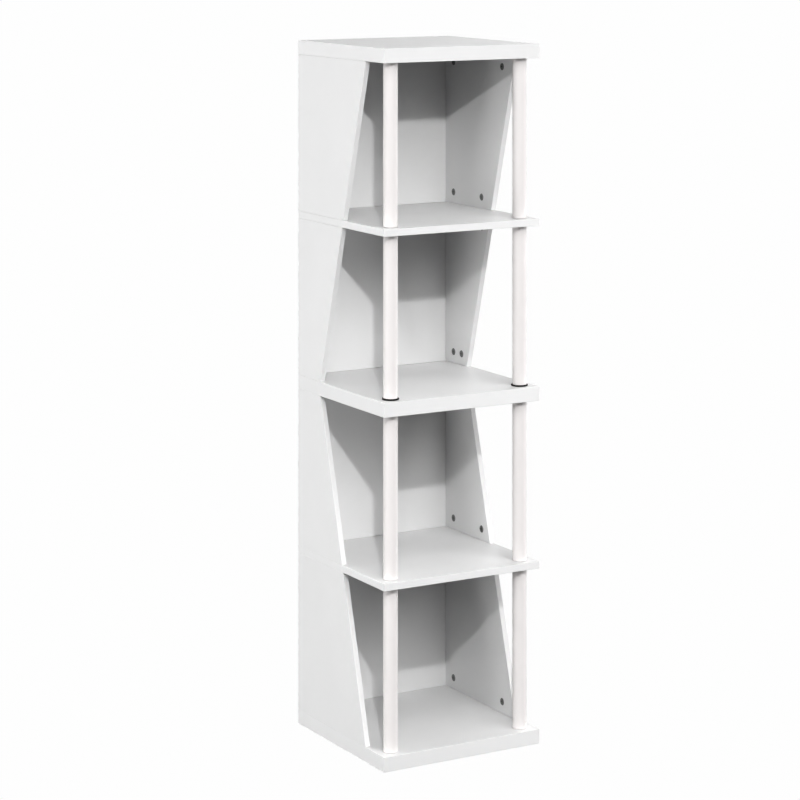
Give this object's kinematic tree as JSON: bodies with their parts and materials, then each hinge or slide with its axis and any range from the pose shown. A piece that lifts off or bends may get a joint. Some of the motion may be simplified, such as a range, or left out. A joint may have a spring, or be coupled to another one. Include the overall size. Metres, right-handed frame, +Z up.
{
  "type": "bookcase",
  "caption": "Slim square open tower bookcase with slanted side panels, round front posts and closed back panels, put together with cam locks.",
  "frame": {"origin": "centre of the square footprint, on the floor under the base board", "axes": "+Z up, -Y towards the open front with the posts, +X to the right when seen from the front"},
  "size_m": [0.3, 0.3, 1.176],
  "materials": {
    "white_melamine": "white melamine-faced board with matching edge banding, satin",
    "white_pvc": "extruded white tube, semi-gloss, slightly warmer than the boards",
    "black_rubber": "matt black ring",
    "zinc_alloy": "dull grey die-cast zinc",
    "plated_steel": "bright zinc plating"
  },
  "bodies": {
    "root": {"top_board": "white_melamine", "upper_shelf": "white_melamine", "middle_board": "white_melamine", "lower_shelf": "white_melamine", "base_board": "white_melamine", "back_panel_tier_1": "white_melamine", "back_panel_tier_2": "white_melamine", "back_panel_tier_3": "white_melamine", "back_panel_tier_4": "white_melamine", "left_panel_tier_1": "white_melamine", "left_panel_tier_2": "white_melamine", "left_panel_tier_3": "white_melamine", "left_panel_tier_4": "white_melamine", "left_post_tier_1": "white_pvc", "left_post_tier_2": "white_pvc", "left_post_tier_3": "white_pvc", "left_post_tier_4": "white_pvc", "left_post_ring": "black_rubber", "left_cam_tier_1_upper": "zinc_alloy", "left_cam_tier_1_lower": "zinc_alloy", "left_cam_tier_2_upper": "zinc_alloy", "left_cam_tier_2_lower": "zinc_alloy", "left_cam_tier_3_upper": "zinc_alloy", "left_cam_tier_3_lower": "zinc_alloy", "left_cam_tier_4_upper": "zinc_alloy", "left_cam_tier_4_lower": "zinc_alloy", "left_cam_bolt_top_board": "plated_steel", "left_cam_bolt_upper_shelf": "plated_steel", "left_cam_bolt_middle_board": "plated_steel", "left_cam_bolt_lower_shelf": "plated_steel", "left_cam_bolt_base_board": "plated_steel", "left_post_stud_upper_shelf": "plated_steel", "left_post_stud_middle_board": "plated_steel", "left_post_stud_lower_shelf": "plated_steel", "right_panel_tier_1": "white_melamine", "right_panel_tier_2": "white_melamine", "right_panel_tier_3": "white_melamine", "right_panel_tier_4": "white_melamine", "right_post_tier_1": "white_pvc", "right_post_tier_2": "white_pvc", "right_post_tier_3": "white_pvc", "right_post_tier_4": "white_pvc", "right_post_ring": "black_rubber", "right_cam_tier_1_upper": "zinc_alloy", "right_cam_tier_1_lower": "zinc_alloy", "right_cam_tier_2_upper": "zinc_alloy", "right_cam_tier_2_lower": "zinc_alloy", "right_cam_tier_3_upper": "zinc_alloy", "right_cam_tier_3_lower": "zinc_alloy", "right_cam_tier_4_upper": "zinc_alloy", "right_cam_tier_4_lower": "zinc_alloy", "right_cam_bolt_top_board": "plated_steel", "right_cam_bolt_upper_shelf": "plated_steel", "right_cam_bolt_middle_board": "plated_steel", "right_cam_bolt_lower_shelf": "plated_steel", "right_cam_bolt_base_board": "plated_steel", "right_post_stud_upper_shelf": "plated_steel", "right_post_stud_middle_board": "plated_steel", "right_post_stud_lower_shelf": "plated_steel"}
  },
  "joints": []
}
